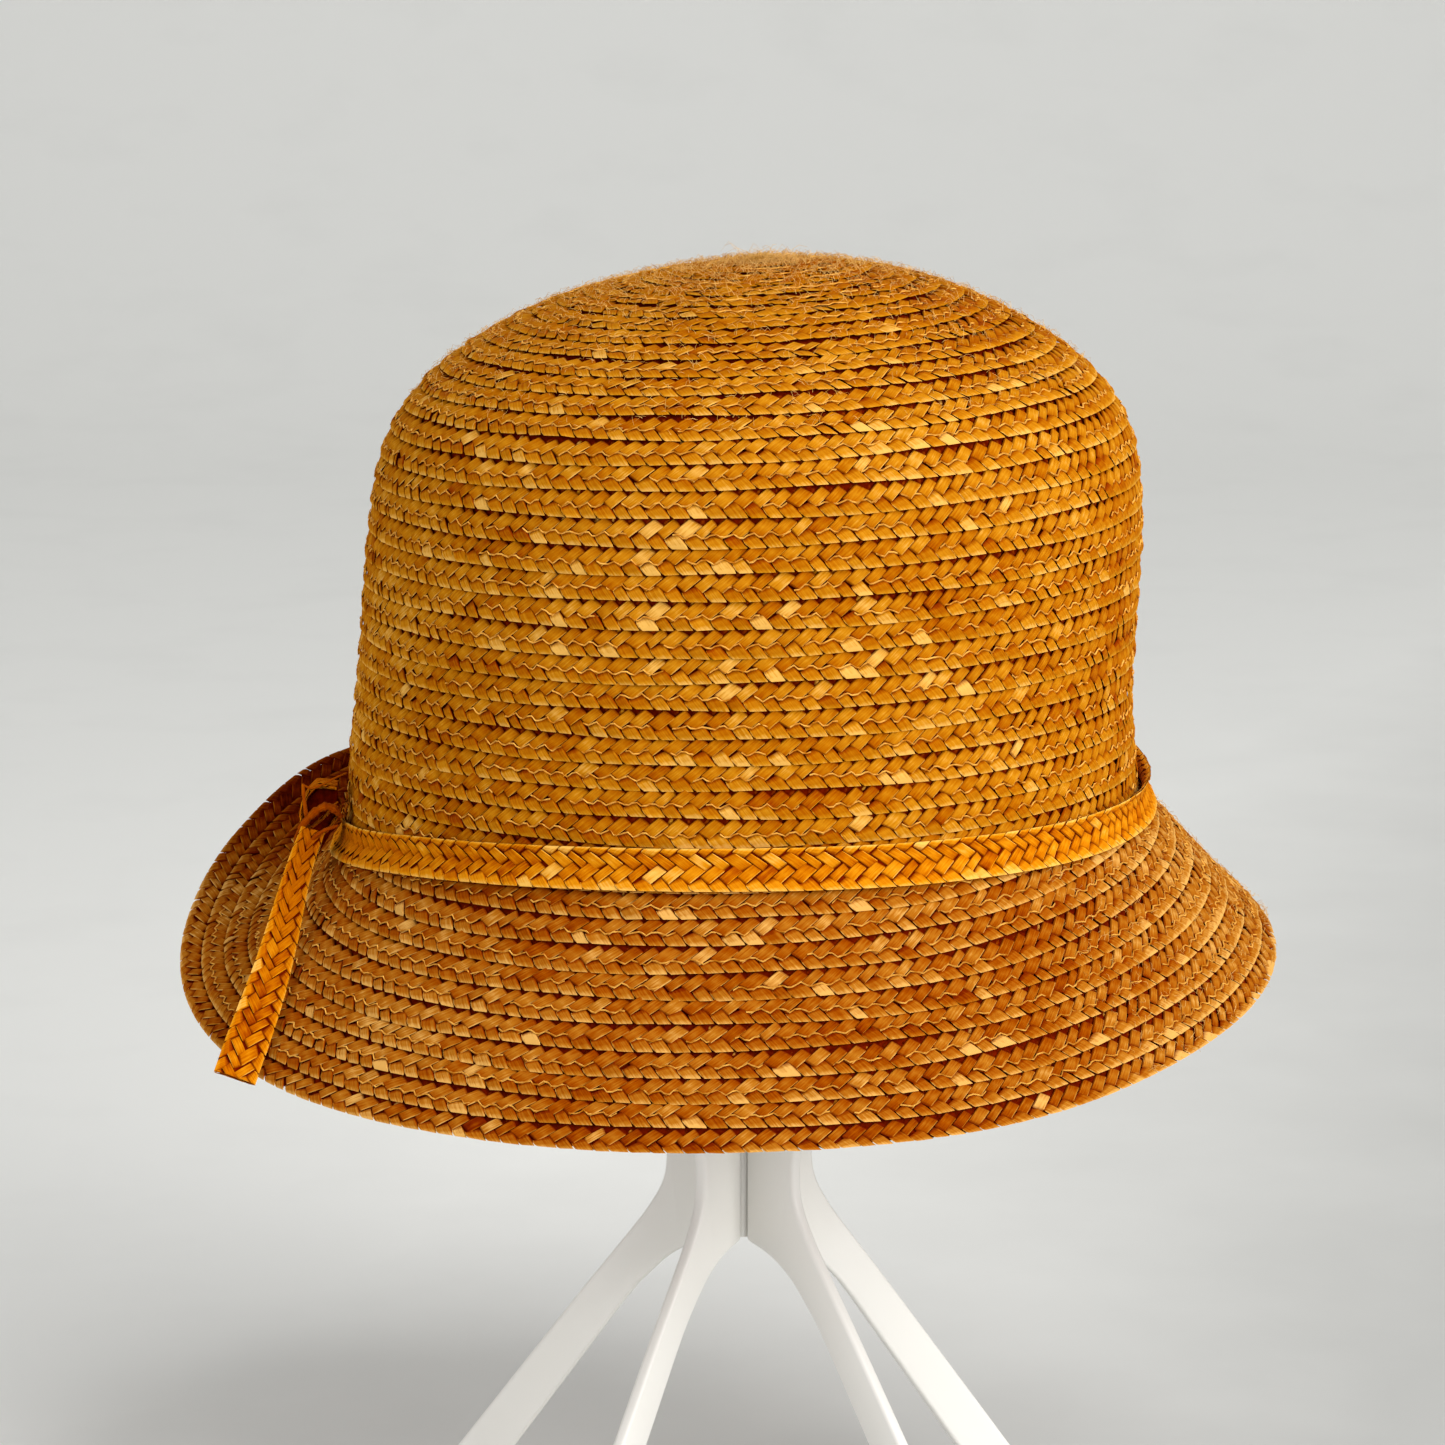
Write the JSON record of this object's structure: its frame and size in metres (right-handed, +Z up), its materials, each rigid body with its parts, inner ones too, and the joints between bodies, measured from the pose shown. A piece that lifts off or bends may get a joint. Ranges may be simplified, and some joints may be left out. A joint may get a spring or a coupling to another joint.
{
  "type": "straw cloche hat on a folding hat stand",
  "caption": "Straw cloche hat of plaited braid sewn row over row, with a tall round crown, an uneven drooping brim, a knotted band and a hanging tail, on a white folding stand.",
  "frame": {"origin": "centre of the part's box, on the surface that the stand's feet rest on", "axes": "+Z up; the hat's front looks along -Y; the knot and tail are on its left as the viewer sees it, towards -X"},
  "size_m": [0.2752, 0.2535, 0.3344],
  "materials": {
    "crown_straw": "plaited straw, honey brown, satin",
    "brim_straw": "plaited straw, darker honey brown, satin",
    "band_straw": "plaited straw, orange brown, satin",
    "white_plastic": "smooth moulded, satin"
  },
  "bodies": {
    "root": {"crown": "crown_straw", "brim": "brim_straw", "band": "band_straw", "knot": "band_straw", "tail": "band_straw", "stand_wing_1": "white_plastic", "stand_wing_2": "white_plastic", "stand_wing_3": "white_plastic", "stand_wing_4": "white_plastic", "stand_post": "white_plastic"}
  },
  "joints": []
}
